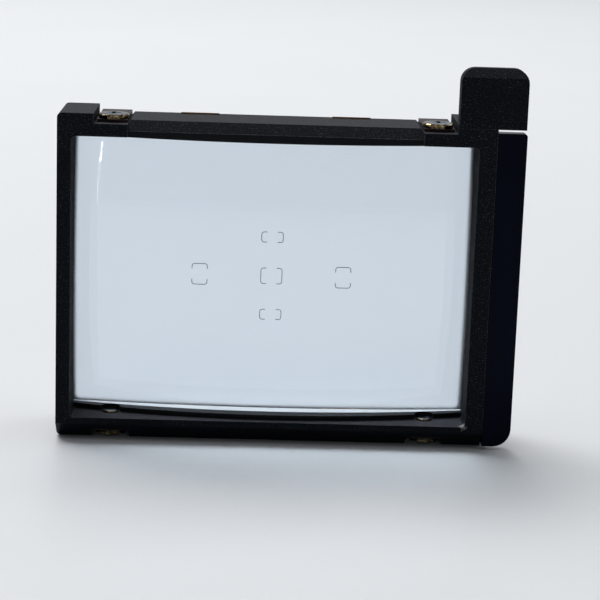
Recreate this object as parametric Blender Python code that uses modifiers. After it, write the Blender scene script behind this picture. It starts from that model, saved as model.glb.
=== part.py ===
"""A viewfinder focusing screen for a 36 x 24 mm camera, in its frame, as separate pieces.

A moulded black frame with a grip tab holds a plano-convex condenser lens on two curved
cradles. Behind the lens lie a shim and the ground screen, pressed forward by four bronze
leaves. A sheet-metal retainer closes the back: its four ears fold over the long rails, and
a screw with a washer goes through each ear into a tapped hole in the rail.

Metres, +Z up. The front faces -Y. The origin is the centre of the footprint at floor level.
"""

import math

import bmesh
import bpy
from mathutils import Matrix

MM = 0.001

# Driving dimensions of the frame.
WIDTH = 43.05 * MM
DEPTH = 8.6 * MM
BODY_WIDTH = 40.35 * MM
BODY_DEPTH = 7.4 * MM
BODY_HEIGHT = 31.0 * MM
BODY_CORNER = 0.45 * MM
OPENING_SIDE = 1.3 * MM
OPENING_WIDTH = 37.4 * MM
OPENING_LOW = 2.2 * MM
OPENING_HIGH = 28.88 * MM
OPENING_CORNER = 0.4 * MM
RECESS_HIGH = 29.4 * MM
RECESS_BACK = 4.7 * MM
LIP_DEPTH = 1.2 * MM
REBATE_FRONT = 5.0 * MM
REBATE_SIDE = 0.7 * MM
REBATE_LOW = 1.6 * MM
REBATE_HIGH = 29.4 * MM
RAIL_TOP = 30.35 * MM
RAIL_SLOPE_DEPTH = 1.3 * MM
RAIL_FRONT = 0.35 * MM
BOTTOM_CHAMFER = 1.6 * MM
EDGE_BREAK = 0.07 * MM

# The grip tab at the right end of the top.
TAB_LEFT = 36.74 * MM
TAB_RIGHT = 42.95 * MM
TAB_TOP = 36.15 * MM
TAB_OVERHANG = 30.6 * MM
TAB_DEPTH = 1.6 * MM
TAB_CORNER = 1.3 * MM
TAB_SLOPE = 0.79 * MM

# The plate along the right side.
SIDE_PLATE_DEPTH = 1.3 * MM
SIDE_PLATE_LOW = 0.38 * MM
SIDE_PLATE_HIGH = 30.27 * MM
SIDE_LEG_WIDTH = 0.7 * MM
SIDE_LEG_HIGH = 28.5 * MM
SIDE_PLATE_CORNER = 1.7 * MM
SIDE_PLATE_SHOULDER = 0.3 * MM

# Notches, screws and what they clamp.
NOTCH_NEAR = 3.32 * MM
NOTCH_FAR = 6.4 * MM
NOTCH_DEPTH = 0.93 * MM
NOTCH_SLANT = 0.46 * MM
SCREW_IN = 5.0 * MM
SCREW_BACK = 2.5 * MM
SHANK_RADIUS = 0.75 * MM
SHANK_LENGTH = 1.9 * MM
SHANK_POINT = 0.15 * MM
HEAD_RADIUS = 1.43 * MM
HEAD_HEIGHT = 0.3 * MM
HEAD_LEVEL = 0.15 * MM
HEAD_ROUND = 0.17 * MM
SOCKET_HALF_LENGTH = 0.68 * MM
SOCKET_HALF_WIDTH = 0.17 * MM
SOCKET_DEPTH = 0.32 * MM
WASHER_RADIUS = 1.38 * MM
WASHER_THICKNESS = 0.17 * MM
WASHER_GAP = 0.015 * MM
HOLE_RADIUS = 0.85 * MM
TAPPED_RADIUS = 0.8 * MM

# The optical stack, in order from the front.
LENS_RADIUS = 80.0 * MM
LENS_FRONT = 0.85 * MM
LENS_BACK = 4.95 * MM
LENS_LOW = 2.72 * MM
LENS_HIGH = 28.5 * MM
LENS_GAP_UNDER = 0.04 * MM
LENS_GAP_OVER = 0.08 * MM
CRADLE_RADIUS = 65.0 * MM
CRADLE_FRONT = 0.8 * MM
CRADLE_BACK = 4.6 * MM
CRADLE_RELIEF = 0.95 * MM
SHIM_THICKNESS = 0.2 * MM
SCREEN_FRONT = 5.26 * MM
SCREEN_THICKNESS = 1.2 * MM
SCREEN_CORNER = 0.3 * MM

# Bronze leaves and the sheet-metal retainer at the back.
LEAF_WIDTH = 3.6 * MM
LEAF_THICKNESS = 0.14 * MM
LEAF_IN = 7.15 * MM
LEAF_BACK = 6.75 * MM
LEAF_PROUD = 0.14 * MM
LEAF_DROP = 0.65 * MM
LEAF_CURL = 0.15 * MM
LEAF_CURL_LIFT = 0.06 * MM
SHEET = 0.25 * MM
RETAINER_SIDE = 0.6 * MM
RETAINER_LOW = 0.9 * MM
RETAINER_HIGH = 29.9 * MM
RETAINER_CORNER = 0.6 * MM
EAR_IN = 0.22 * MM
EAR_WIDTH = 2.8 * MM
EAR_FRONT = 1.25 * MM
EAR_THICKNESS = 0.25 * MM
EAR_ROOT = 0.7 * MM
WINDOW_LOW = 2.0 * MM
WINDOW_HIGH = 29.0 * MM
WINDOW_CORNER = 0.4 * MM

# Space between neighbouring pieces.
GAP = 0.03 * MM
FREE = 0.05 * MM

OPENING_MIDDLE = OPENING_SIDE + OPENING_WIDTH / 2
LENS_MIDDLE = (LENS_LOW + LENS_HIGH) / 2
ARC_STEPS = 6
CRADLE_STEPS = 28
ROUND_STEPS = 32
OUTSIDE = 2.0 * MM

for old in list(bpy.data.objects):
    bpy.data.objects.remove(old, do_unlink=True)

PARTS = bpy.data.collections.new("focusing_screen")
CUTTERS = bpy.data.collections.new("cutters")
bpy.context.scene.collection.children.link(PARTS)
bpy.context.scene.collection.children.link(CUTTERS)

# Lengths above are measured from the left side, the front face and the floor.
LEFT = -WIDTH / 2
FRONT = -DEPTH / 2


def material(name, colour, roughness, metallic=0.0, transmission=0.0):
    made = bpy.data.materials.new(name)
    made.use_nodes = True
    shader = made.node_tree.nodes["Principled BSDF"]
    shader.inputs["Base Color"].default_value = (*colour, 1.0)
    shader.inputs["Roughness"].default_value = roughness
    shader.inputs["Metallic"].default_value = metallic
    shader.inputs["Transmission Weight"].default_value = transmission
    made.diffuse_color = (*colour, 1.0)
    return made


def link(obj, finish=None):
    """Puts a part in the parts collection, or a cutter, which has no finish, with the cutters."""
    if finish:
        PARTS.objects.link(obj)
        obj.data.materials.clear()
        obj.data.materials.append(finish)
    else:
        CUTTERS.objects.link(obj)
        obj.hide_render = True
        obj.display_type = "WIRE"
    return obj


# Axes that stand a flat outline, drawn in X and Y, upright or on end.
FACING = {
    "Z": Matrix(((1, 0, 0), (0, 1, 0), (0, 0, 1))),
    "Y": Matrix(((1, 0, 0), (0, 0, -1), (0, 1, 0))),
    "X": Matrix(((0, 0, 1), (1, 0, 0), (0, 1, 0))),
}


def prism(name, outlines, axis, start, end, finish=None):
    """A flat outline, and any holes in it, drawn out along an axis from start to end."""
    curve = bpy.data.curves.new(name, "CURVE")
    curve.dimensions = "2D"
    curve.fill_mode = "BOTH"
    curve.extrude = (end - start) / 2
    for outline in outlines:
        spline = curve.splines.new("POLY")
        spline.points.add(len(outline) - 1)
        for point, (u, v) in zip(spline.points, outline):
            point.co = (u, v, 0, 1)
        spline.use_cyclic_u = True
    drawn = bpy.data.objects.new(name, curve)
    CUTTERS.objects.link(drawn)
    middle = (start + end) / 2
    offset = {
        "X": (LEFT + middle, FRONT, 0),
        "Y": (LEFT, FRONT + middle, 0),
        "Z": (LEFT, FRONT, middle),
    }[axis]
    drawn.matrix_world = Matrix.Translation(offset) @ FACING[axis].to_4x4()
    bpy.context.view_layer.update()
    graph = bpy.context.evaluated_depsgraph_get()
    mesh = bpy.data.meshes.new_from_object(drawn.evaluated_get(graph))
    placed = drawn.matrix_world.copy()
    bpy.data.objects.remove(drawn, do_unlink=True)
    weld(mesh)
    solid = bpy.data.objects.new(name, mesh)
    solid.matrix_world = placed
    return link(solid, finish)


def weld(mesh):
    shape = bmesh.new()
    shape.from_mesh(mesh)
    bmesh.ops.remove_doubles(shape, verts=shape.verts, dist=0.001 * MM)
    bmesh.ops.recalc_face_normals(shape, faces=shape.faces)
    shape.to_mesh(mesh)
    shape.free()


def box(name, x, y, z, finish=None):
    """A box between the pairs of lengths x, y and z."""
    shape = bmesh.new()
    size = Matrix.Diagonal((x[1] - x[0], y[1] - y[0], z[1] - z[0], 1))
    bmesh.ops.create_cube(shape, size=1.0, matrix=size)
    mesh = bpy.data.meshes.new(name)
    shape.to_mesh(mesh)
    shape.free()
    solid = bpy.data.objects.new(name, mesh)
    solid.location = (LEFT + sum(x) / 2, FRONT + sum(y) / 2, sum(z) / 2)
    return link(solid, finish)


def rod(name, x, y, z, radius, finish=None, segments=24):
    """An upright cylinder at x, y between the two levels z."""
    shape = bmesh.new()
    bmesh.ops.create_cone(
        shape, cap_ends=True, segments=segments, radius1=radius, radius2=radius, depth=z[1] - z[0]
    )
    mesh = bpy.data.meshes.new(name)
    shape.to_mesh(mesh)
    shape.free()
    solid = bpy.data.objects.new(name, mesh)
    solid.location = (LEFT + x, FRONT + y, sum(z) / 2)
    return link(solid, finish)


def combine(solid, other, operation="DIFFERENCE"):
    step = solid.modifiers.new(other.name, "BOOLEAN")
    step.operation = operation
    step.object = other
    step.solver = "EXACT"


def break_edges(solid, width=EDGE_BREAK, segments=1):
    step = solid.modifiers.new("broken edges", "BEVEL")
    step.width = width
    step.segments = segments
    step.limit_method = "ANGLE"
    step.angle_limit = math.radians(40)


def rectangle(x, z, radii=(0, 0, 0, 0)):
    """A rectangle from its low left corner round to its high left one, each corner rounded."""
    corners = ((x[0], z[0], 180), (x[1], z[0], 270), (x[1], z[1], 0), (x[0], z[1], 90))
    inward = ((1, 1), (-1, 1), (-1, -1), (1, -1))
    points = []
    for (cx, cz, start), (sx, sz), radius in zip(corners, inward, radii):
        if not radius:
            points.append((cx, cz))
            continue
        for step in range(ARC_STEPS + 1):
            angle = math.radians(start + 90 * step / ARC_STEPS)
            points.append(
                (
                    cx + sx * radius + radius * math.cos(angle),
                    cz + sz * radius + radius * math.sin(angle),
                )
            )
    return points


def mirrored(outline):
    """The same outline on the other side of the opening's middle."""
    return [(2 * OPENING_MIDDLE - u, v) for u, v in reversed(outline)]


def upended(outline):
    """The same outline at the other long edge of the frame."""
    return [(u, BODY_HEIGHT - v) for u, v in reversed(outline)]


def bowed(across, front, radius):
    """How far back a surface lies that curves away from its middle."""
    return front + across**2 / (2 * radius)


BLACK = material("moulded black", (0.012, 0.016, 0.022), 0.6)
SMOOTH_BLACK = material("smooth black", (0.006, 0.007, 0.012), 0.25)
DARK_METAL = material("blackened metal", (0.03, 0.032, 0.036), 0.45, 0.6)
GLASS = material("glass", (0.85, 0.93, 1.0), 0.02, 0.0, 1.0)
GROUND_GLASS = material("ground screen", (0.75, 0.85, 0.95), 0.4, 0.0, 0.9)
SHEET_METAL = material("retainer sheet", (0.35, 0.33, 0.34), 0.4, 0.9)
BRASS = material("plated screw", (0.72, 0.62, 0.42), 0.22, 1.0)
BRONZE = material("bronze", (0.42, 0.24, 0.12), 0.35, 1.0)


def build_frame():
    """The moulded frame: a ring with a grip tab, two long rails and four notched corners."""
    corners = (BODY_CORNER, 0, 0, BODY_CORNER)
    outline = rectangle((0, BODY_WIDTH), (0, BODY_HEIGHT), corners)
    frame = prism("main_frame", [outline], "Y", 0, BODY_DEPTH, BLACK)
    grip = rectangle((TAB_LEFT, TAB_RIGHT), (TAB_OVERHANG, TAB_TOP), (0, 0, TAB_CORNER, TAB_CORNER))
    combine(frame, prism("grip tab", [grip], "Y", 0, TAB_DEPTH), "UNION")

    opening = rectangle(
        (OPENING_SIDE, OPENING_SIDE + OPENING_WIDTH),
        (OPENING_LOW, OPENING_HIGH),
        (OPENING_CORNER,) * 4,
    )
    combine(frame, prism("opening", [opening], "Y", -OUTSIDE, BODY_DEPTH + OUTSIDE))
    recess = rectangle(
        (OPENING_SIDE, OPENING_SIDE + OPENING_WIDTH), (OPENING_HIGH - OUTSIDE, RECESS_HIGH)
    )
    combine(frame, prism("cradle recess", [recess], "Y", LIP_DEPTH, RECESS_BACK))
    rebate = rectangle((REBATE_SIDE, 2 * OPENING_MIDDLE - REBATE_SIDE), (REBATE_LOW, REBATE_HIGH))
    combine(frame, prism("screen rebate", [rebate], "Y", REBATE_FRONT, BODY_DEPTH + OUTSIDE))

    slope = [
        (-OUTSIDE, OPENING_HIGH - OUTSIDE),
        (LIP_DEPTH + OUTSIDE, OPENING_HIGH - OUTSIDE),
        (LIP_DEPTH + OUTSIDE, RECESS_HIGH),
        (RAIL_FRONT, RECESS_HIGH),
        (RAIL_SLOPE_DEPTH, RAIL_TOP),
        (BODY_DEPTH + OUTSIDE, RAIL_TOP),
        (BODY_DEPTH + OUTSIDE, RAIL_TOP + OUTSIDE),
        (-OUTSIDE, RAIL_TOP + OUTSIDE),
    ]
    rail_ends = (NOTCH_FAR, 2 * OPENING_MIDDLE - NOTCH_FAR)
    combine(frame, prism("rail top", [slope], "X", *rail_ends))

    chamfer = [
        (-OUTSIDE, -OUTSIDE),
        (BOTTOM_CHAMFER + OUTSIDE, -OUTSIDE),
        (-OUTSIDE, BOTTOM_CHAMFER + OUTSIDE),
    ]
    combine(frame, prism("bottom chamfer", [chamfer], "X", -OUTSIDE, WIDTH + OUTSIDE))
    tab_slope = [
        (-OUTSIDE, TAB_TOP - TAB_SLOPE - OUTSIDE),
        (TAB_SLOPE + OUTSIDE, TAB_TOP + OUTSIDE),
        (-OUTSIDE, TAB_TOP + OUTSIDE),
    ]
    combine(frame, prism("tab slope", [tab_slope], "X", TAB_LEFT - OUTSIDE, WIDTH + OUTSIDE))

    cut_notches(frame)
    cut_leaf_slots(frame)
    break_edges(frame)
    return frame


def cut_notches(frame):
    floor = BODY_HEIGHT - NOTCH_DEPTH
    open_top = BODY_HEIGHT + OUTSIDE
    notch = [
        (NOTCH_NEAR, floor),
        (NOTCH_FAR, floor),
        (NOTCH_FAR + NOTCH_SLANT, floor + NOTCH_SLANT),
        (NOTCH_FAR + NOTCH_SLANT, open_top),
        (NOTCH_NEAR, open_top),
    ]
    through = (-OUTSIDE, BODY_DEPTH + OUTSIDE)
    for name, outline in notches("notch", notch):
        combine(frame, prism(name, [outline], "Y", *through))
    for name, x, top in screw_places():
        level = floor if top else NOTCH_DEPTH
        rail = (level - OUTSIDE, level + OUTSIDE)
        combine(frame, rod("tapping " + name, x, SCREW_BACK, rail, TAPPED_RADIUS))


def notches(name, outline):
    yield name + " top left", outline
    yield name + " top right", mirrored(outline)
    yield name + " bottom left", upended(outline)
    yield name + " bottom right", upended(mirrored(outline))


def screw_places():
    """Each screw's name, its distance from the left and whether it is at the top."""
    for level, top in (("top", True), ("bottom", False)):
        yield level + "_left", SCREW_IN, top
        yield level + "_right", 2 * OPENING_MIDDLE - SCREW_IN, top


def leaf_places():
    for level, top in (("top", True), ("bottom", False)):
        yield level + "_left", OPENING_MIDDLE - LEAF_IN, top
        yield level + "_right", OPENING_MIDDLE + LEAF_IN, top


def cut_leaf_slots(frame):
    half = LEAF_WIDTH / 2 + FREE
    deep = (LEAF_BACK - LEAF_THICKNESS / 2 - FREE, LEAF_BACK + LEAF_THICKNESS / 2 + FREE)
    for name, x, top in leaf_places():
        z = (REBATE_HIGH - OUTSIDE, RAIL_TOP + OUTSIDE) if top else (-OUTSIDE, REBATE_LOW + OUTSIDE)
        combine(frame, box("slot " + name, (x - half, x + half), deep, z))


def build_side_plate():
    """The plate along the right side, with a leg that is bonded to the frame's side."""
    inner = BODY_WIDTH + GAP
    outline = rectangle(
        (inner, WIDTH), (SIDE_PLATE_LOW, SIDE_PLATE_HIGH), (0, SIDE_PLATE_CORNER, SIDE_PLATE_SHOULDER, 0)
    )
    plate = prism("side_plate", [outline], "Y", 0, SIDE_PLATE_DEPTH, SMOOTH_BLACK)
    leg = box(
        "side plate leg",
        (inner, inner + SIDE_LEG_WIDTH),
        (SIDE_PLATE_DEPTH / 2, BODY_DEPTH - FREE),
        (SIDE_PLATE_LOW, SIDE_LEG_HIGH),
    )
    combine(plate, leg, "UNION")
    break_edges(plate)
    return plate


def build_lens():
    """The condenser lens: flat at the back, domed at the front, cut to a rectangle."""
    half_width = OPENING_WIDTH / 2 - FREE
    half_height = (LENS_HIGH - LENS_LOW) / 2
    shape = bmesh.new()
    bmesh.ops.create_grid(shape, x_segments=24, y_segments=16, size=0.5)
    for vertex in shape.verts:
        across = vertex.co.x * 2 * half_width
        up = vertex.co.y * 2 * half_height
        back = bowed(math.hypot(across, up), LENS_FRONT, LENS_RADIUS)
        vertex.co = (across, back - LENS_BACK, up)
    edge = bmesh.ops.extrude_face_region(shape, geom=shape.faces[:])
    for item in edge["geom"]:
        if isinstance(item, bmesh.types.BMVert):
            item.co.y = 0
    bmesh.ops.recalc_face_normals(shape, faces=shape.faces)
    flat = [face for face in shape.faces if all(abs(v.co.y) < GAP / 10 for v in face.verts)]
    bmesh.ops.dissolve_faces(shape, faces=flat, use_verts=False)
    mesh = bpy.data.meshes.new("condenser_lens")
    shape.to_mesh(mesh)
    shape.free()
    lens = bpy.data.objects.new("condenser_lens", mesh)
    lens.location = (LEFT + OPENING_MIDDLE, FRONT + LENS_BACK, LENS_MIDDLE)
    return link(lens, GLASS)


def build_cradle(name, z, top):
    """A strip under or over the lens. Its front edge follows the lens and clears two screws."""
    reach = OPENING_WIDTH / 2 - FREE
    outline = []
    for step in range(CRADLE_STEPS + 1):
        across = reach * (2 * step / CRADLE_STEPS - 1)
        outline.append((OPENING_MIDDLE + across, bowed(across, CRADLE_FRONT, CRADLE_RADIUS)))
    outline.append((OPENING_MIDDLE + reach, CRADLE_BACK))
    outline.append((OPENING_MIDDLE - reach, CRADLE_BACK))
    cradle = prism(name, [outline], "Z", *z, DARK_METAL)
    if not top:
        low_corners = (OPENING_CORNER, OPENING_CORNER, 0, 0)
        ends = rectangle((OPENING_MIDDLE - reach, OPENING_MIDDLE + reach), z, low_corners)
        combine(cradle, prism("ends " + name, [ends], "Y", 0, BODY_DEPTH), "INTERSECT")
    past = (z[0] - OUTSIDE, z[1] + OUTSIDE)
    for screw, x, at_top in screw_places():
        if at_top == top:
            combine(cradle, rod("relief " + screw, x, SCREW_BACK, past, CRADLE_RELIEF))


def build_cradles():
    build_cradle("lower_lens_cradle", (OPENING_LOW + GAP, LENS_LOW - LENS_GAP_UNDER), False)
    build_cradle("upper_lens_cradle", (LENS_HIGH + LENS_GAP_OVER, RECESS_HIGH - GAP), True)


def build_screen():
    """The ground screen, and the shim between it and the shoulder of the frame."""
    x = (REBATE_SIDE + FREE, 2 * OPENING_MIDDLE - REBATE_SIDE - FREE)
    z = (REBATE_LOW + FREE, REBATE_HIGH - FREE)
    hole = rectangle((OPENING_SIDE, OPENING_SIDE + OPENING_WIDTH), (OPENING_LOW, OPENING_HIGH))
    start = REBATE_FRONT + GAP
    prism("screen_shim", [rectangle(x, z), hole], "Y", start, start + SHIM_THICKNESS, DARK_METAL)
    pane = rectangle(x, z, (SCREEN_CORNER,) * 4)
    end = SCREEN_FRONT + SCREEN_THICKNESS
    prism("ground_screen", [pane], "Y", SCREEN_FRONT, end, GROUND_GLASS)


def strip_outline(route, thickness):
    """The outline of a thin bent sheet that follows a route, seen from its end."""
    near = []
    far = []
    for index, point in enumerate(route):
        before = route[max(index - 1, 0)]
        after = route[min(index + 1, len(route) - 1)]
        length = math.dist(before, after)
        normal = ((before[1] - after[1]) / length, (after[0] - before[0]) / length)
        turn = 1.0
        if before is not point and after is not point:
            first = math.atan2(point[1] - before[1], point[0] - before[0])
            second = math.atan2(after[1] - point[1], after[0] - point[0])
            turn = 1 / math.cos((second - first) / 2)
        shift = thickness / 2 * turn
        near.append((point[0] + normal[0] * shift, point[1] + normal[1] * shift))
        far.append((point[0] - normal[0] * shift, point[1] - normal[1] * shift))
    return near + far[::-1]


def build_leaves():
    """Bronze leaves in slots through the long rails. Their free ends press on the screen."""
    contact = SCREEN_FRONT + SCREEN_THICKNESS + FREE + LEAF_THICKNESS / 2
    touch = REBATE_HIGH - LEAF_DROP
    route = [
        (LEAF_BACK, RAIL_TOP + LEAF_PROUD),
        (LEAF_BACK, REBATE_HIGH - FREE),
        (contact + LEAF_CURL_LIFT, touch + LEAF_CURL),
        (contact, touch),
        (contact + LEAF_CURL_LIFT, touch - LEAF_CURL),
    ]
    upper = strip_outline(route, LEAF_THICKNESS)
    for name, x, top in leaf_places():
        outline = upper
        if not top:
            drop = REBATE_HIGH + REBATE_LOW
            outline = [(u, drop - v) for u, v in reversed(upper)]
        half = LEAF_WIDTH / 2
        prism("leaf_spring_" + name, [outline], "X", x - half, x + half, BRONZE)


def build_retainer():
    """The pressed sheet that closes the back, with four ears folded over the rails."""
    x = (RETAINER_SIDE, 2 * OPENING_MIDDLE - RETAINER_SIDE)
    z = (RETAINER_LOW, RETAINER_HIGH)
    outline = rectangle(x, z, (RETAINER_CORNER,) * 4)
    retainer = prism("rear_retainer", [outline], "Y", BODY_DEPTH + FREE, DEPTH, SHEET_METAL)
    hollow = rectangle(
        (x[0] + SHEET, x[1] - SHEET), (z[0] + SHEET, z[1] - SHEET), (RETAINER_CORNER - SHEET,) * 4
    )
    combine(retainer, prism("retainer hollow", [hollow], "Y", BODY_DEPTH - OUTSIDE, DEPTH - SHEET))
    window = rectangle(
        (OPENING_SIDE, OPENING_SIDE + OPENING_WIDTH), (WINDOW_LOW, WINDOW_HIGH), (WINDOW_CORNER,) * 4
    )
    combine(retainer, prism("window", [window], "Y", 0, DEPTH + OUTSIDE))

    level = BODY_HEIGHT - NOTCH_DEPTH + GAP
    ear = [
        (DEPTH, RETAINER_HIGH - EAR_ROOT),
        (DEPTH, level + EAR_THICKNESS),
        (EAR_FRONT, level + EAR_THICKNESS),
        (EAR_FRONT, level),
        (DEPTH - SHEET, level),
        (DEPTH - SHEET, RETAINER_HIGH - EAR_ROOT),
    ]
    turned = [(u, BODY_HEIGHT - v) for u, v in reversed(ear)]
    for name, x, top in screw_places():
        left = NOTCH_NEAR + EAR_IN
        if x > OPENING_MIDDLE:
            left = 2 * OPENING_MIDDLE - left - EAR_WIDTH
        shape = ear if top else turned
        combine(retainer, prism("ear " + name, [shape], "X", left, left + EAR_WIDTH), "UNION")
    for name, x, top in screw_places():
        middle = level if top else BODY_HEIGHT - level
        z = (middle - OUTSIDE, middle + OUTSIDE)
        combine(retainer, rod("ear hole " + name, x, SCREW_BACK, z, HOLE_RADIUS))
    return retainer


def screw_mesh():
    """The outline of a screw that points down. Its origin is on its axis, on top of its head."""
    tip = -HEAD_HEIGHT - SHANK_LENGTH
    profile = [
        (0, 0),
        (0.75 * HEAD_RADIUS, -0.2 * HEAD_ROUND),
        (0.94 * HEAD_RADIUS, -0.5 * HEAD_ROUND),
        (HEAD_RADIUS, -HEAD_ROUND),
        (HEAD_RADIUS, -HEAD_HEIGHT),
        (SHANK_RADIUS, -HEAD_HEIGHT),
        (SHANK_RADIUS, tip + SHANK_POINT),
        (SHANK_RADIUS - SHANK_POINT, tip),
        (0, tip),
    ]
    points = [(radius, 0, z) for radius, z in profile]
    mesh = bpy.data.meshes.new("screw")
    mesh.from_pydata(points, [(i, i + 1) for i in range(len(points) - 1)], [])
    return mesh


def turn_outline(screw):
    """Turns a screw's outline about its own axis."""
    step = screw.modifiers.new("turned", "SCREW")
    step.steps = ROUND_STEPS
    step.render_steps = ROUND_STEPS
    step.use_merge_vertices = True
    step.merge_threshold = 0.001 * MM
    step.use_smooth_shade = True


def build_screws():
    """Four cross-head screws, each with a flat washer between its head and the ear."""
    for name, x, top in screw_places():
        screw = link(bpy.data.objects.new("screw_" + name, screw_mesh()), BRASS)
        level = BODY_HEIGHT - HEAD_LEVEL if top else HEAD_LEVEL
        screw.location = (LEFT + x, FRONT + SCREW_BACK, level)
        screw.rotation_euler = (0 if top else math.pi, 0, 0)
        turn_outline(screw)
        blades = (
            ("along", SOCKET_HALF_LENGTH, SOCKET_HALF_WIDTH),
            ("across", SOCKET_HALF_WIDTH, SOCKET_HALF_LENGTH),
        )
        for way, u, v in blades:
            blade = box(
                "socket " + way + " " + name,
                (x - u, x + u),
                (SCREW_BACK - v, SCREW_BACK + v),
                (level - SOCKET_DEPTH, level + SOCKET_DEPTH),
            )
            combine(screw, blade)
        build_washer(name, x, level, -1 if top else 1)


def build_washer(name, x, level, inward):
    near = level + inward * (HEAD_HEIGHT + WASHER_GAP)
    z = sorted((near, near + inward * WASHER_THICKNESS))
    washer = rod("washer_" + name, x, SCREW_BACK, z, WASHER_RADIUS, BRASS, ROUND_STEPS)
    past = (z[0] - OUTSIDE, z[1] + OUTSIDE)
    combine(washer, rod("washer hole " + name, x, SCREW_BACK, past, HOLE_RADIUS))


build_frame()
build_side_plate()
build_lens()
build_cradles()
build_screen()
build_leaves()
build_retainer()
build_screws()
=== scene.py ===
import math

import bmesh
import bpy
from mathutils import Matrix, Vector


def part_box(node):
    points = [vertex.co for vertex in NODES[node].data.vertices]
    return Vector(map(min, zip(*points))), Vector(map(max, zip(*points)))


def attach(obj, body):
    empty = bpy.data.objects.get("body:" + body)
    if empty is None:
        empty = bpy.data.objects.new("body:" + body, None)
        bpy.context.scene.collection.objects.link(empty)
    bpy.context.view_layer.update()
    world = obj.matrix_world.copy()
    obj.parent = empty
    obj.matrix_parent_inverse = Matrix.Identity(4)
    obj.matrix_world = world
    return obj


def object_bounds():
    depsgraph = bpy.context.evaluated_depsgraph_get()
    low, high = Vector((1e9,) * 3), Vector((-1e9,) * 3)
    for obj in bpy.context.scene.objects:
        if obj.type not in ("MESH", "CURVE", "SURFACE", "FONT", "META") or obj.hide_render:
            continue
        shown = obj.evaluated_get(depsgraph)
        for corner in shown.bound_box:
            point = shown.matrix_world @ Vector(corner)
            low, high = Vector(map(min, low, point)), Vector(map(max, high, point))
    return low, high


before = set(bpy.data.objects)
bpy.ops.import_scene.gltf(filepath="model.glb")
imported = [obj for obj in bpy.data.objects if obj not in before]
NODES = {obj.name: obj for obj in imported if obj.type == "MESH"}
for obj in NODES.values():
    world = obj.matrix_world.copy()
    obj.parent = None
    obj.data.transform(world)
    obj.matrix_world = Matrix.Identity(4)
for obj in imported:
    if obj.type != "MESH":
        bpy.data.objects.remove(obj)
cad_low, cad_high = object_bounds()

MM = 0.001
CORNERS = ("top_left", "top_right", "bottom_left", "bottom_right")
THREAD_PITCH = 0.25 * MM
SCREW_HEAD = 0.45 * MM
LENS_RADIUS = 80 * MM
CHAMFER_REACH = 1.75 * MM
MIX_COLOUR_INPUTS = (0, 6, 7)
MIX_COLOUR_OUTPUT = 2
MIX_VECTOR_INPUTS = (0, 4, 5)
MIX_VECTOR_OUTPUT = 1


# The camera, a little above the lens and turned slightly on its axis.
FOCAL_LENGTH = 116.82
SENSOR = 36.0
CLIP_NEAR, CLIP_FAR = 1 * MM, 20.0
EYE = Vector((-3.856, -181.09, 54.257)) * MM
PITCH, ROLL, YAW = -0.2231, -0.0339, -0.0283


def make_camera():
    data = bpy.data.cameras.new("camera")
    data.lens = FOCAL_LENGTH
    data.sensor_width = SENSOR
    data.clip_start = CLIP_NEAR
    data.clip_end = CLIP_FAR
    camera = bpy.data.objects.new("camera", data)
    bpy.context.scene.collection.objects.link(camera)
    camera.matrix_world = (
        Matrix.Translation(EYE)
        @ Matrix.Rotation(YAW, 4, "Z")
        @ Matrix.Rotation(PITCH, 4, "X")
        @ Matrix.Rotation(ROLL, 4, "Y")
        @ Matrix.Rotation(math.pi / 2, 4, "X")
    )
    bpy.context.scene.camera = camera


# Node trees.
def add(tree, kind, settings=None, inputs=None):
    """One node. An input given as a socket is linked, and any other value is set on it."""
    node = tree.nodes.new(kind)
    for key, value in (settings or {}).items():
        setattr(node, key, value)
    for key, value in (inputs or {}).items():
        socket = node.inputs[key]
        if isinstance(value, bpy.types.NodeSocket):
            tree.links.new(value, socket)
        else:
            socket.default_value = value
    return node


def start(name):
    """A new material, its node tree, and the place of a point on the object."""
    made = bpy.data.materials.new(name)
    made.use_nodes = True
    tree = made.node_tree
    tree.nodes.clear()
    place = add(tree, "ShaderNodeTexCoord").outputs["Object"]
    return made, tree, place


def principled(tree, inputs):
    """A shader whose inputs are given by name, with underscores for spaces."""
    named = {name.replace("_", " "): value for name, value in inputs.items()}
    return add(tree, "ShaderNodeBsdfPrincipled", inputs=named).outputs[0]


def close(tree, **inputs):
    add(tree, "ShaderNodeOutputMaterial", inputs={"Surface": principled(tree, inputs)})


def close_glass(tree, passed, **inputs):
    """Glass that bends light, and lets lamps through to what is behind it in the colour passed."""
    glass = principled(tree, inputs)
    through = add(tree, "ShaderNodeBsdfTransparent", inputs={"Color": (*passed, 1)}).outputs[0]
    lamp = add(tree, "ShaderNodeLightPath").outputs["Is Shadow Ray"]
    mixed = add(tree, "ShaderNodeMixShader", inputs={0: lamp, 1: glass, 2: through}).outputs[0]
    add(tree, "ShaderNodeOutputMaterial", inputs={"Surface": mixed})


def noise(tree, place, grain, detail=2.0, roughness=0.5):
    """Noise whose features are about grain metres across."""
    inputs = {"Vector": place, "Scale": 1 / grain, "Detail": detail, "Roughness": roughness}
    return add(tree, "ShaderNodeTexNoise", inputs=inputs).outputs["Fac"]


def ramp(tree, value, *stops):
    """Colours, or greys, at places along a value."""
    node = add(tree, "ShaderNodeValToRGB", inputs={"Fac": value})
    points = node.color_ramp.elements
    while len(points) < len(stops):
        points.new(0.5)
    for point, (place, colour) in zip(points, sorted(stops, key=lambda stop: stop[0])):
        point.position = place
        point.color = (colour,) * 3 + (1,) if isinstance(colour, float) else (*colour, 1)
    return node.outputs["Color"]


def span(tree, value, low, high, start_at=0.0, end_at=1.0):
    """A value mapped from one range to another, and held at the ends."""
    ends = {"From Min": low, "From Max": high, "To Min": start_at, "To Max": end_at}
    return add(tree, "ShaderNodeMapRange", inputs={"Value": value, **ends}).outputs[0]


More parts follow.
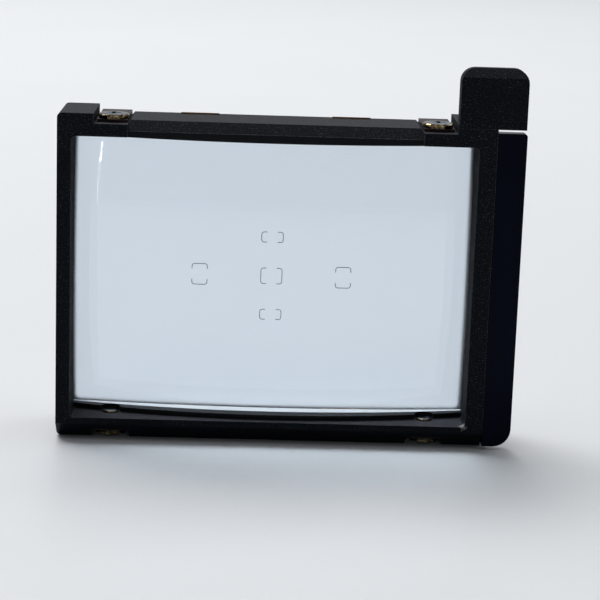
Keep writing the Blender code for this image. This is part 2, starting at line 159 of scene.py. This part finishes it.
def blend(tree, factor, first, second):
    """Two colours mixed by a factor."""
    node = add(tree, "ShaderNodeMix", {"data_type": "RGBA"})
    for index, value in zip(MIX_COLOUR_INPUTS, (factor, first, second)):
        if isinstance(value, bpy.types.NodeSocket):
            tree.links.new(value, node.inputs[index])
        else:
            node.inputs[index].default_value = value if index == 0 else (*value, 1)
    return node.outputs[MIX_COLOUR_OUTPUT]


def calc(tree, operation, *values):
    """One sum on plain numbers."""
    inputs = dict(enumerate(values))
    return add(tree, "ShaderNodeMath", {"operation": operation}, inputs).outputs[0]


def product(tree, first, second):
    return calc(tree, "MULTIPLY", first, second)


def vector_math(tree, operation, *values):
    """One sum on vectors. It gives the node's outputs."""
    inputs = dict(enumerate(values))
    return add(tree, "ShaderNodeVectorMath", {"operation": operation}, inputs).outputs


def bump(tree, height, depth, strength, under=None):
    inputs = {"Height": height, "Distance": depth, "Strength": strength}
    if under:
        inputs["Normal"] = under
    return add(tree, "ShaderNodeBump", inputs=inputs).outputs[0]


def axes(tree, place):
    """The X, Y and Z of a place or direction."""
    return add(tree, "ShaderNodeSeparateXYZ", inputs={"Vector": place}).outputs


def spots(tree, place, spacing, size, share):
    """Round specks of a given radius, seen from the front, in a share of a loose grid's cells."""
    across = axes(tree, place)
    flat = add(tree, "ShaderNodeCombineXYZ", inputs={"X": across[0], "Y": across[2]}).outputs[0]
    inputs = {"Vector": flat, "Scale": 1 / spacing}
    cell = add(tree, "ShaderNodeTexVoronoi", {"voronoi_dimensions": "2D"}, inputs).outputs
    near = span(tree, cell["Distance"], 0.6 * size / spacing, size / spacing, 1.0, 0.0)
    chosen = calc(tree, "LESS_THAN", axes(tree, cell["Color"])[0], share)
    return product(tree, near, chosen)


def face_normal(tree):
    return add(tree, "ShaderNodeNewGeometry").outputs["True Normal"]


def level_face(tree):
    """One on faces that point up or down, and zero on upright ones."""
    up = axes(tree, face_normal(tree))[2]
    return calc(tree, "GREATER_THAN", calc(tree, "ABSOLUTE", up), 0.8)


def dust_and_top_light(tree, place):
    """Patchy fine dust and painted light from above, on faces that point straight up."""
    up = axes(tree, face_normal(tree))[2]
    patchy = span(tree, noise(tree, place, 0.5 * MM, 4.0, 0.7), 0.25, 0.7, 0.55, 1.0)
    return product(tree, calc(tree, "GREATER_THAN", up, 0.9), patchy)


def edge_wear(tree, radius):
    """One on sharp edges and zero on flat faces."""
    round_normal = add(tree, "ShaderNodeBevel", {"samples": 4}, {"Radius": radius}).outputs[0]
    flat_normal = add(tree, "ShaderNodeNewGeometry").outputs["Normal"]
    alike = vector_math(tree, "DOT_PRODUCT", round_normal, flat_normal)["Value"]
    return span(tree, alike, 0.99, 0.8)


def ledge_corner_highlight(tree, place):
    """One at a painted highlight, a small bright spot at the right end of the ledge's front edge.
    """
    low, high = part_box("condenser_lens")
    corner = (high.x - 0.15 * MM, cad_low.y + 0.3 * MM, low.z - 0.6 * MM)
    apart = vector_math(tree, "DISTANCE", place, corner)["Value"]
    ragged = product(tree, noise(tree, place, 0.2 * MM, 3.0, 0.7), 0.7 * MM)
    return span(tree, calc(tree, "ADD", apart, ragged), 0.55 * MM, 0.8 * MM, 1.0, 0.0)


# Materials.
def frame_black():
    """Speckled; lighter on its level faces with dust and painted top light; a painted highlight at
    the right end of the ledge's front edge; and on the chamfer at its foot, darker with painted
    shade and smoother.
    """
    made, tree, place = start("moulded black")
    fine = noise(tree, place, 0.13 * MM, 1.0, 0.6)
    cloud = noise(tree, place, 3.0 * MM, 3.0)
    speck = ramp(
        tree,
        fine,
        (0.0, (0.001, 0.0015, 0.003)),
        (0.5, (0.002, 0.004, 0.007)),
        (0.6, (0.007, 0.010, 0.015)),
        (0.76, (0.075, 0.08, 0.09)),
    )
    dull = blend(tree, span(tree, cloud, 0.35, 0.7, 0.0, 0.5), speck, (0.002, 0.004, 0.007))
    worn = product(tree, edge_wear(tree, 0.08 * MM), span(tree, fine, 0.4, 0.6, 0.35, 1.0))
    dust_and_top_light_amount = product(tree, dust_and_top_light(tree, place), 0.85)
    colour = blend(tree, product(tree, worn, 0.7), dull, (0.15, 0.145, 0.15))
    # Level faces lighter: dust and painted top light.
    colour = blend(tree, dust_and_top_light_amount, colour, (0.036, 0.035, 0.041))
    # A painted highlight at the right end of the ledge's front edge.
    colour = blend(tree, ledge_corner_highlight(tree, place), colour, (0.34, 0.32, 0.31))
    # The chamfer at the foot: painted shade, darker and without specks, with a smoother finish and
    # fainter bump.
    across = axes(tree, place)
    slant = calc(tree, "ADD", across[1], across[2])
    low = calc(tree, "LESS_THAN", slant, cad_low.y + CHAMFER_REACH)
    colour = blend(tree, low, colour, (0.0012, 0.002, 0.005))
    rough = blend(tree, low, ramp(tree, fine, (0.3, 0.6), (0.7, 0.85)), (0.3, 0.3, 0.3))
    grain = span(tree, low, 0.0, 1.0, 1.0, 0.12)
    normal = bump(tree, product(tree, fine, grain), 0.05 * MM, 0.9)
    normal = bump(tree, cloud, 0.02 * MM, 0.2, normal)
    close(
        tree,
        Base_Color=colour,
        Roughness=rough,
        Normal=normal,
        IOR=1.45,
        Specular_IOR_Level=0.13,
    )
    return made


def smooth_black():
    made, tree, place = start("smooth black")
    swirl = noise(tree, place, 5.0 * MM, 3.0)
    dust = ramp(tree, noise(tree, place, 0.16 * MM, 1.0), (0.0, 0.0), (0.77, 0.0), (0.81, 1.0))
    colour = blend(tree, product(tree, dust, 0.25), (0.0003, 0.0005, 0.002), (0.12, 0.13, 0.16))
    rough = span(tree, swirl, 0.3, 0.7, 0.16, 0.26)
    normal = bump(tree, noise(tree, place, 0.9 * MM, 3.0), 0.01 * MM, 0.08)
    close(
        tree,
        Base_Color=colour,
        Roughness=rough,
        Normal=normal,
        IOR=1.35,
        Specular_IOR_Level=0.2,
        # The blue specular tint is a painted blue reflection.
        Specular_Tint=(0.45, 0.55, 1.0, 1),
    )
    return made


def blackened():
    made, tree, place = start("blackened metal")
    fine = noise(tree, place, 0.08 * MM, 3.0, 0.6)
    worn = edge_wear(tree, 0.05 * MM)
    base = ramp(tree, fine, (0.3, (0.003, 0.004, 0.006)), (0.7, (0.011, 0.012, 0.015)))
    colour = blend(tree, product(tree, worn, 0.6), base, (0.20, 0.19, 0.20))
    rough = ramp(tree, fine, (0.3, 0.32), (0.7, 0.5))
    normal = bump(tree, fine, 0.01 * MM, 0.4)
    close(tree, Base_Color=colour, Roughness=rough, Normal=normal, Specular_IOR_Level=0.09)
    return made


def dome_normal(tree, place, flat):
    """The true curve of the lens's front, over the small flat faces that it is made of."""
    low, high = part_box("condenser_lens")
    middle = (low + high) / 2
    across = axes(tree, vector_math(tree, "SUBTRACT", place, tuple(middle))[0])
    slope_x = calc(tree, "DIVIDE", across[0], LENS_RADIUS)
    slope_z = calc(tree, "DIVIDE", across[2], LENS_RADIUS)
    leaning = calc(tree, "ADD", product(tree, slope_x, slope_x), product(tree, slope_z, slope_z))
    forward = product(tree, calc(tree, "SQRT", calc(tree, "SUBTRACT", 1.0, leaning)), -1.0)
    slopes = {"X": slope_x, "Y": forward, "Z": slope_z}
    curved = add(tree, "ShaderNodeCombineXYZ", inputs=slopes).outputs[0]
    front = calc(tree, "LESS_THAN", axes(tree, flat)[1], -0.5)
    mixed = add(tree, "ShaderNodeMix", {"data_type": "VECTOR"})
    for index, socket in zip(MIX_VECTOR_INPUTS, (front, flat, curved)):
        tree.links.new(socket, mixed.inputs[index])
    return vector_math(tree, "NORMALIZE", mixed.outputs[MIX_VECTOR_OUTPUT])[0]


def clear_glass():
    """Polished on the dome and the back, and finely ground on the four side faces."""
    made, tree, place = start("clear glass")
    flat = face_normal(tree)
    side = calc(tree, "LESS_THAN", calc(tree, "ABSOLUTE", axes(tree, flat)[1]), 0.5)
    dust = spots(tree, place, 3.4 * MM, 0.045 * MM, 0.2)
    matt = noise(tree, place, 0.05 * MM, 3.0)
    colour = blend(tree, dust, (0.955, 0.98, 1.0), (0.9, 0.92, 0.95))
    colour = blend(tree, side, colour, (0.38, 0.40, 0.42))
    clouded = calc(tree, "MAXIMUM", side, product(tree, dust, 0.35))
    polished = span(tree, noise(tree, place, 6.0 * MM, 3.0), 0.2, 0.8, 0.02, 0.035)
    sanded = product(tree, side, span(tree, matt, 0.3, 0.7, 0.45, 0.6))
    dome = dome_normal(tree, place, flat)
    close_glass(
        tree,
        passed=(0.93, 0.95, 0.96),
        Base_Color=colour,
        Roughness=calc(tree, "ADD", polished, sanded),
        Transmission_Weight=span(tree, clouded, 0.0, 1.0, 1.0, 0.3),
        IOR=1.52,
        Normal=bump(tree, product(tree, matt, side), 0.01 * MM, 0.5, dome),
    )
    return made


def ground_glass():
    """Finely ground all over, and a little uneven in its colour."""
    made, tree, place = start("ground glass")
    grain = noise(tree, place, 0.035 * MM, 2.0)
    cloud = noise(tree, place, 4.0 * MM, 3.0)
    colour = blend(tree, cloud, (0.84, 0.905, 0.97), (0.88, 0.93, 0.985))
    close_glass(
        tree,
        passed=(0.84, 0.87, 0.90),
        Base_Color=colour,
        Roughness=span(tree, cloud, 0.3, 0.7, 0.215, 0.262),
        Transmission_Weight=0.97,
        IOR=1.5,
        Normal=bump(tree, grain, 0.001 * MM, 0.06),
    )
    return made


def retainer_sheet():
    made, tree, place = start("retainer sheet")
    drawn_out = {"Vector": place, "Scale": (0.06, 1.0, 1.0)}
    stretch = add(tree, "ShaderNodeMapping", inputs=drawn_out).outputs[0]
    lines = noise(tree, stretch, 0.05 * MM, 3.0, 0.7)
    cloud = noise(tree, place, 2.0 * MM, 3.0)
    base = ramp(tree, lines, (0.3, (0.026, 0.015, 0.016)), (0.7, (0.058, 0.038, 0.040)))
    colour = blend(tree, span(tree, cloud, 0.4, 0.7, 0.0, 0.6), base, (0.020, 0.012, 0.013))
    rough = ramp(tree, lines, (0.3, 0.42), (0.7, 0.58))
    normal = bump(tree, lines, 0.004 * MM, 0.4)
    close(
        tree,
        Base_Color=colour,
        Roughness=rough,
        Metallic=0.4,
        Normal=normal,
        Specular_IOR_Level=0.2,
    )
    return made


def plated(name, rims, tops):
    """Bright plating, with a pair of colours for its upright faces and one for its level ones. The
    blue-grey of the level faces is a painted reflection, and the sharp patches between each pair's
    light and dark colours are painted glints and dark reflections.
    """
    made, tree, place = start(name)
    cloud = span(tree, noise(tree, place, 0.34 * MM, 3.0), 0.42, 0.56)
    fine = noise(tree, place, 0.06 * MM, 3.0)
    # Painted reflection and glints: blue-grey level faces, brass upright ones, each in sharp light
    # and dark patches.
    colour = blend(tree, level_face(tree), blend(tree, cloud, *rims), blend(tree, cloud, *tops))
    worn = edge_wear(tree, 0.04 * MM)
    colour = blend(tree, product(tree, worn, 0.5), colour, (0.62, 0.52, 0.34))
    rough = span(tree, fine, 0.3, 0.7, 0.1, 0.24)
    normal = bump(tree, fine, 0.008 * MM, 0.7)
    look = {"Base_Color": colour, "Roughness": rough, "Metallic": 1.0, "Normal": normal}
    return made, tree, place, look


def from_screw_axis(tree, place):
    """How far a point is from the axis of the nearest screw."""
    boxes = (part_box("screw_" + side) for side in ("top_left", "top_right"))
    left, right = (sum(box, Vector()) / 2 for box in boxes)
    across = axes(tree, place)
    x = calc(tree, "ABSOLUTE", calc(tree, "SUBTRACT", across[0], (left.x + right.x) / 2))
    x = calc(tree, "SUBTRACT", x, (right.x - left.x) / 2)
    y = calc(tree, "SUBTRACT", across[1], left.y)
    return calc(tree, "SQRT", calc(tree, "ADD", product(tree, x, x), product(tree, y, y)))


def plated_brass():
    """The screws, with a thread on the shank in the finish, painted shade in its grooves, and
    painted shade in ragged patches round the recess of each head.
    """
    # Brass upright faces and a painted blue-grey reflection on level faces, each pair split into
    # painted glints and dark reflections.
    rims = ((0.44, 0.33, 0.16), (0.05, 0.032, 0.015))
    tops = ((0.26, 0.31, 0.37), (0.03, 0.035, 0.05))
    made, tree, place, look = plated("plated brass", rims, tops)
    height = axes(tree, place)[2]
    thread = calc(tree, "SINE", product(tree, height, 2 * math.pi / THREAD_PITCH))
    lowest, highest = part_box("screw_bottom_left")[0].z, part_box("screw_top_left")[1].z
    above_low_head = calc(tree, "GREATER_THAN", height, lowest + SCREW_HEAD)
    below_high_head = calc(tree, "LESS_THAN", height, highest - SCREW_HEAD)
    shank = product(tree, above_low_head, below_high_head)
    ridges = product(tree, thread, shank)
    # Darker in the thread's grooves: painted shade.
    groove_shade = product(tree, shank, span(tree, thread, -0.2, 0.6, 0.8, 0.0))
    # Painted shade in ragged patches round each head's recess.
    near_axis = span(tree, from_screw_axis(tree, place), 0.5 * MM, 1.15 * MM, 1.0, 0.0)
    recess_shade = span(tree, noise(tree, place, 0.16 * MM, 3.0, 0.7), 0.40, 0.52)
    recess_shade = product(tree, product(tree, recess_shade, near_axis), calc(tree, "SUBTRACT", 1.0, shank))
    colour = blend(tree, product(tree, recess_shade, 0.85), look["Base_Color"], (0.05, 0.05, 0.06))
    look["Base_Color"] = blend(tree, groove_shade, colour, (0.07, 0.055, 0.035))
    look["Normal"] = bump(tree, ridges, 0.06 * MM, 0.9, look["Normal"])
    close(tree, **look)
    return made


def washer_brass_painted_shade():
    # Dark all over: painted shade under the screw heads.
    rims = ((0.13, 0.10, 0.05), (0.015, 0.011, 0.007))
    tops = ((0.10, 0.08, 0.055), (0.02, 0.016, 0.012))
    made, tree, _, look = plated("washer brass painted shade", rims, tops)
    close(tree, **look)
    return made


def spring_bronze():
    made, tree, place = start("spring bronze")
    fine = noise(tree, place, 0.08 * MM, 3.0)
    cloud = noise(tree, place, 1.0 * MM, 2.0)
    base = ramp(tree, fine, (0.3, (0.50, 0.24, 0.10)), (0.7, (0.66, 0.36, 0.18)))
    colour = blend(tree, span(tree, cloud, 0.4, 0.7, 0.0, 0.5), base, (0.26, 0.13, 0.07))
    rough = span(tree, fine, 0.3, 0.7, 0.25, 0.42)
    normal = bump(tree, fine, 0.005 * MM, 0.5)
    close(tree, Base_Color=colour, Roughness=rough, Metallic=1.0, Normal=normal)
    return made


def mark_black():
    made, tree, place = start("mark black")
    fine = noise(tree, place, 0.03 * MM, 2.0)
    colour = ramp(tree, fine, (0.3, (0.06, 0.075, 0.10)), (0.7, (0.16, 0.18, 0.21)))
    close(tree, Base_Color=colour, Roughness=0.7)
    return made


def pale_floor():
    made, tree, place = start("pale floor")
    cloud = noise(tree, place, 60 * MM, 4.0)
    fine = noise(tree, place, 0.8 * MM, 3.0)
    colour = blend(tree, cloud, (0.74, 0.755, 0.775), (0.78, 0.79, 0.805))
    rough = span(tree, fine, 0.3, 0.7, 0.42, 0.55)
    close(tree, Base_Color=colour, Roughness=rough, Normal=bump(tree, fine, 0.02 * MM, 0.15))
    return made


FINISHES = {
    "main_frame": frame_black,
    "side_plate": smooth_black,
    "lower_lens_cradle": blackened,
    "screen_shim": blackened,
    "condenser_lens": clear_glass,
    "ground_screen": ground_glass,
    "rear_retainer": retainer_sheet,
    "screw_top_left": plated_brass,
    "washer_top_left": washer_brass_painted_shade,
    "leaf_spring_top_left": spring_bronze,
}
SAME_AS = {"upper_lens_cradle": "lower_lens_cradle"}
for corner_name in CORNERS:
    SAME_AS["screw_" + corner_name] = "screw_top_left"
    SAME_AS["washer_" + corner_name] = "washer_top_left"
    SAME_AS["leaf_spring_" + corner_name] = "leaf_spring_top_left"


def dress():
    """Gives every CAD node its finish."""
    made = {name: maker() for name, maker in FINISHES.items()}
    for name, node in NODES.items():
        node.data.materials.clear()
        node.data.materials.append(made[SAME_AS.get(name, name)])


# The focusing marks, on the front face of the ground screen.
MARK_LINE = 0.068 * MM
MARK_THICKNESS = 0.008 * MM
MARK_CLEARANCE = 0.004 * MM
MARK_LEVEL = 15.51 * MM
MARK_SHIFT = -0.01 * MM
BRACKET_GAP = 0.49 * MM
BRACKET_CORNER = 0.27 * MM
CORNER_STEPS = 5


def ribbon(shape, route, plane):
    """A flat line of constant width along a route, as a closed thin solid."""
    rows = []
    for index, point in enumerate(route):
        before = route[max(index - 1, 0)]
        after = route[min(index + 1, len(route) - 1)]
        along = Vector((after[0] - before[0], after[1] - before[1])).normalized()
        side = Vector((-along.y, along.x)) * MARK_LINE / 2
        row = []
        for depth in (plane, plane - MARK_THICKNESS):
            for sign in (1, -1):
                corner = (point[0] + sign * side.x, depth, point[1] + sign * side.y)
                row.append(shape.verts.new(corner))
        rows.append([row[0], row[1], row[3], row[2]])
    for first, second in zip(rows, rows[1:]):
        for corner in range(4):
            following = (corner + 1) % 4
            shape.faces.new((first[corner], first[following], second[following], second[corner]))
    shape.faces.new(rows[0][::-1])
    shape.faces.new(rows[-1])


def bracket_pair(shape, centre, half_width, half_height, plane, upright):
    """Two brackets that face each other across a gap, side by side or one over the other."""
    if upright:
        ends = (
            (BRACKET_GAP, half_height),
            (half_width, half_height),
            (half_width, -half_height),
            (BRACKET_GAP, -half_height),
        )
    else:
        ends = (
            (-half_width, BRACKET_GAP),
            (-half_width, half_height),
            (half_width, half_height),
            (half_width, BRACKET_GAP),
        )
    for sign in (1, -1):
        first, corner_a, corner_b, last = [Vector((sign * u, sign * v)) for u, v in ends]
        route = [first]
        for before, corner, after in ((first, corner_a, corner_b), (corner_a, corner_b, last)):
            entry = (before - corner).normalized() * BRACKET_CORNER
            leave = (after - corner).normalized() * BRACKET_CORNER
            for step in range(CORNER_STEPS + 1):
                t = step / CORNER_STEPS
                route.append(corner + entry * (1 - t) ** 2 + leave * t**2)
        route.append(last)
        ribbon(shape, [(centre[0] + u, centre[1] + v) for u, v in route], plane)


def focusing_marks():
    """One pair of brackets in the middle and four round it, in a cross."""
    low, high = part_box("ground_screen")
    middle = (low.x + high.x) / 2 + MARK_SHIFT
    plane = low.y - MARK_CLEARANCE
    shape = bmesh.new()
    marks = (
        ((0.0, 0.0), 0.985, 0.74, True),
        ((0.0, 3.68), 1.0, 0.48, True),
        ((0.0, -3.68), 1.0, 0.48, True),
        ((-6.7, 0.0), 0.71, 0.985, False),
        ((6.7, 0.0), 0.71, 0.985, False),
    )
    for (across, up), half_width, half_height, upright in marks:
        centre = (middle + across * MM, MARK_LEVEL + up * MM)
        bracket_pair(shape, centre, half_width * MM, half_height * MM, plane, upright)
    bmesh.ops.recalc_face_normals(shape, faces=shape.faces)
    mesh = bpy.data.meshes.new("focusing_marks")
    shape.to_mesh(mesh)
    shape.free()
    piece = bpy.data.objects.new("focusing_marks", mesh)
    bpy.context.scene.collection.objects.link(piece)
    mesh.materials.append(mark_black())
    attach(piece, "frame")


# Floor and light. Each softbox has a place, a width and height, and a power in watts.
FLOOR_HALF_SIZE = 1.4
SEEN_WORLD_LEVEL = 0.62
WORLD_TINT = (0.93, 0.965, 1.0)
SOFTBOXES = {
    "key": ((-0.28, 0.5, 0.92), (0.75, 0.5), 9.0),
    "right": ((0.8, 0.34, 0.42), (0.5, 0.5), 1.2),
    "strip": ((-0.2271, -0.3953, 0.0825), (0.0013, 0.026), 0.0024),
    "strip_tail": ((-0.2295, -0.397, 0.045), (0.0012, 0.06), 0.0011),
}


def make_floor():
    shape = bmesh.new()
    bmesh.ops.create_grid(shape, x_segments=1, y_segments=1, size=FLOOR_HALF_SIZE)
    mesh = bpy.data.meshes.new("floor")
    shape.to_mesh(mesh)
    shape.free()
    floor = bpy.data.objects.new("floor", mesh)
    bpy.context.scene.collection.objects.link(floor)
    floor.location.z = cad_low.z
    mesh.materials.append(pale_floor())


def softbox(name, at, size, power):
    """A rectangular lamp that faces the middle of the object."""
    data = bpy.data.lights.new(name, "AREA")
    data.shape = "RECTANGLE"
    data.size, data.size_y = size
    data.energy = power
    light = bpy.data.objects.new(name, data)
    bpy.context.scene.collection.objects.link(light)
    target = (cad_low + cad_high) / 2
    light.location = at
    light.rotation_euler = (target - Vector(at)).to_track_quat("-Z", "Y").to_euler()


def make_world():
    """A dim room, lighter behind and above the object, and even where the camera sees it."""
    world = bpy.data.worlds.new("studio")
    bpy.context.scene.world = world
    world.use_nodes = True
    tree = world.node_tree
    background = tree.nodes["Background"]
    towards = axes(tree, add(tree, "ShaderNodeTexCoord").outputs["Generated"])
    lit = calc(tree, "ADD", product(tree, towards[1], 0.5), product(tree, towards[2], 0.6))
    behind = ramp(tree, span(tree, lit, -0.5, 1.0), (0.0, 0.04), (0.4, 0.13), (0.8, 0.6))
    horizon = span(tree, towards[2], 0.0, 0.5, 0.2, 0.0)
    level = calc(tree, "MAXIMUM", behind, horizon)
    camera_ray = add(tree, "ShaderNodeLightPath").outputs["Is Camera Ray"]
    level = calc(tree, "MAXIMUM", level, product(tree, camera_ray, SEEN_WORLD_LEVEL))
    tinted = ramp(tree, level, (0.0, 0.0), (1.0, WORLD_TINT))
    tree.links.new(tinted, background.inputs["Color"])
    background.inputs["Strength"].default_value = 1.0


make_camera()
dress()
focusing_marks()
make_floor()
make_world()
for softbox_name, settings in SOFTBOXES.items():
    softbox(softbox_name, *settings)
bpy.context.scene.view_settings.view_transform = "Standard"
